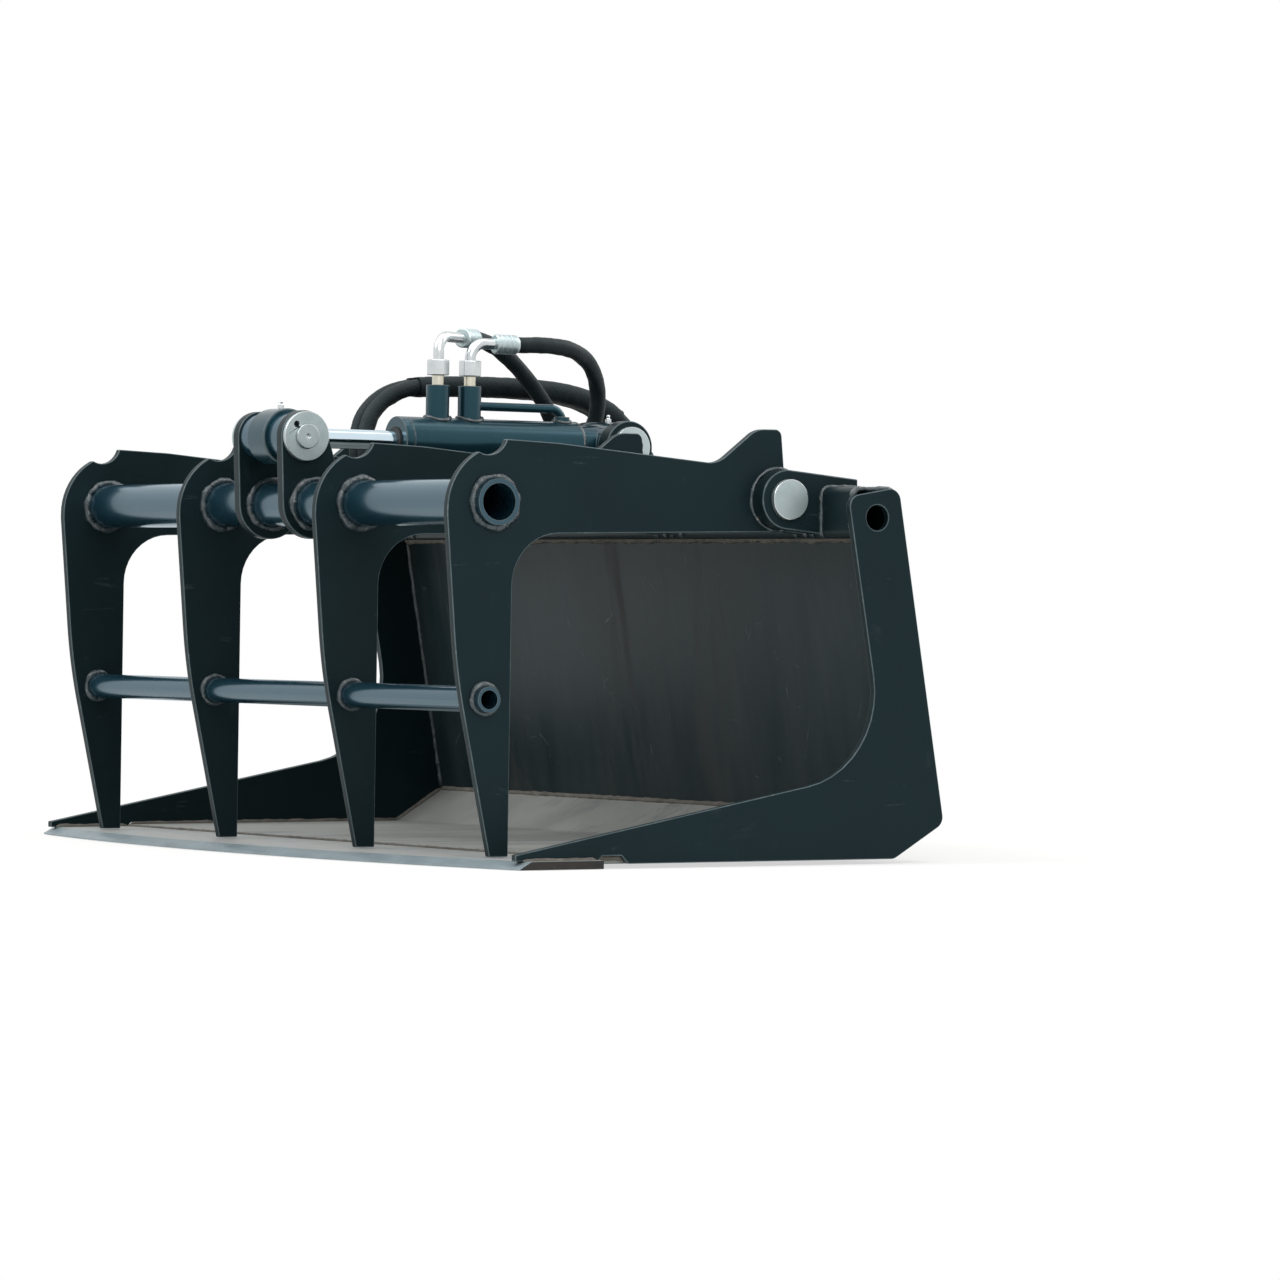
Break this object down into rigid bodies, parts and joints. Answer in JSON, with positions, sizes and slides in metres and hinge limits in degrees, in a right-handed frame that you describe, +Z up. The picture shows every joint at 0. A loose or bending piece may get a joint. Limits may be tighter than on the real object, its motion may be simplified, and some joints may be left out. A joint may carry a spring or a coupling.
{
  "type": "grapple bucket",
  "caption": "Open bucket for a compact loader with a hydraulic tine grapple above it, hinged at the back to clamp a load.",
  "frame": {"origin": "centre of the footprint on the ground, hoses and their couplers left out", "axes": "+X across the bucket, to the left of someone who looks at it from the cutting edge; +Y from the cutting edge to the back; +Z up"},
  "size_m": [1.03, 0.6015, 0.5305],
  "materials": {
    "paint": "satin dark grey green paint",
    "worn_paint": "paint rubbed and dusty from use",
    "edge_steel": "painted steel, worn pale along the bevel",
    "zinc": "zinc plated",
    "bare_steel": "machined",
    "bronze": "machined bushing bronze",
    "chrome": "hard chrome",
    "rubber": "black rubber",
    "cap_plastic": "soft black cap"
  },
  "bodies": {
    "bucket": {"floor_plate": "worn_paint", "back_plate": "paint", "side_plate_left": "paint", "side_plate_right": "paint", "cutting_edge": "edge_steel", "wear_strips": "worn_paint", "crossmember": "paint", "pivot_ears": "paint", "pivot_pins": "zinc", "pivot_rings": "bare_steel", "cylinder_lugs": "paint", "base_pin": "zinc", "base_pin_washers": "zinc", "base_pin_ring": "bare_steel", "mount_plate": "paint", "mount_hook": "paint", "mount_shelf": "paint", "mount_gussets": "paint", "hose_a": "rubber", "hose_b": "rubber", "hose_sleeve": "rubber", "coupler_ferrules": "zinc", "couplers": "zinc", "coupler_caps": "cap_plastic"},
    "grapple": {"tine_1": "paint", "tine_2": "paint", "tine_3": "paint", "tine_4": "paint", "pivot_bushings": "bronze", "upper_tube": "paint", "lower_tube": "paint", "clevis_plates": "paint", "rod_pin": "zinc", "rod_pin_washers": "zinc", "rod_pin_ring": "bare_steel", "rod_pin_collars": "paint"},
    "barrel": {"barrel_tube": "paint", "gland": "paint", "rod_wiper": "rubber", "barrel_base": "paint", "base_bushing": "bronze", "port_stubs": "paint", "hard_line": "paint", "port_adapters": "zinc", "hose_nuts": "zinc", "hose_elbows": "zinc", "hose_ferrules": "zinc", "base_nipple": "zinc"},
    "rod": {"piston_rod": "chrome", "rod_eye": "paint", "piston": "bare_steel", "piston_seal": "rubber", "piston_nut": "bare_steel", "rod_nipple": "zinc"}
  },
  "joints": [
    {"name": "grapple_hinge", "type": "hinge", "parent": "bucket", "child": "grapple", "pos_m": [0, 0.09459, 0.3535], "axis": [-1, 0, 0], "range_deg": [0, 50]},
    {"name": "barrel_swing", "type": "hinge", "parent": "bucket", "child": "barrel", "pos_m": [0, 0.14708, 0.41], "axis": [-1, 0, 0], "range_deg": [0, 46.5], "deforming": ["hose_a", "hose_b"]},
    {"name": "rod_slide", "type": "slide", "parent": "barrel", "child": "rod", "axis": [0, 0.9999, -0.0158], "range_m": [0, 0.0615]}
  ],
  "couplings": [
    {"joint": "barrel_swing", "follows": "grapple_hinge", "ratio": 0.9173},
    {"joint": "rod_slide", "follows": "grapple_hinge", "m_per_rad": 0.06909}
  ]
}
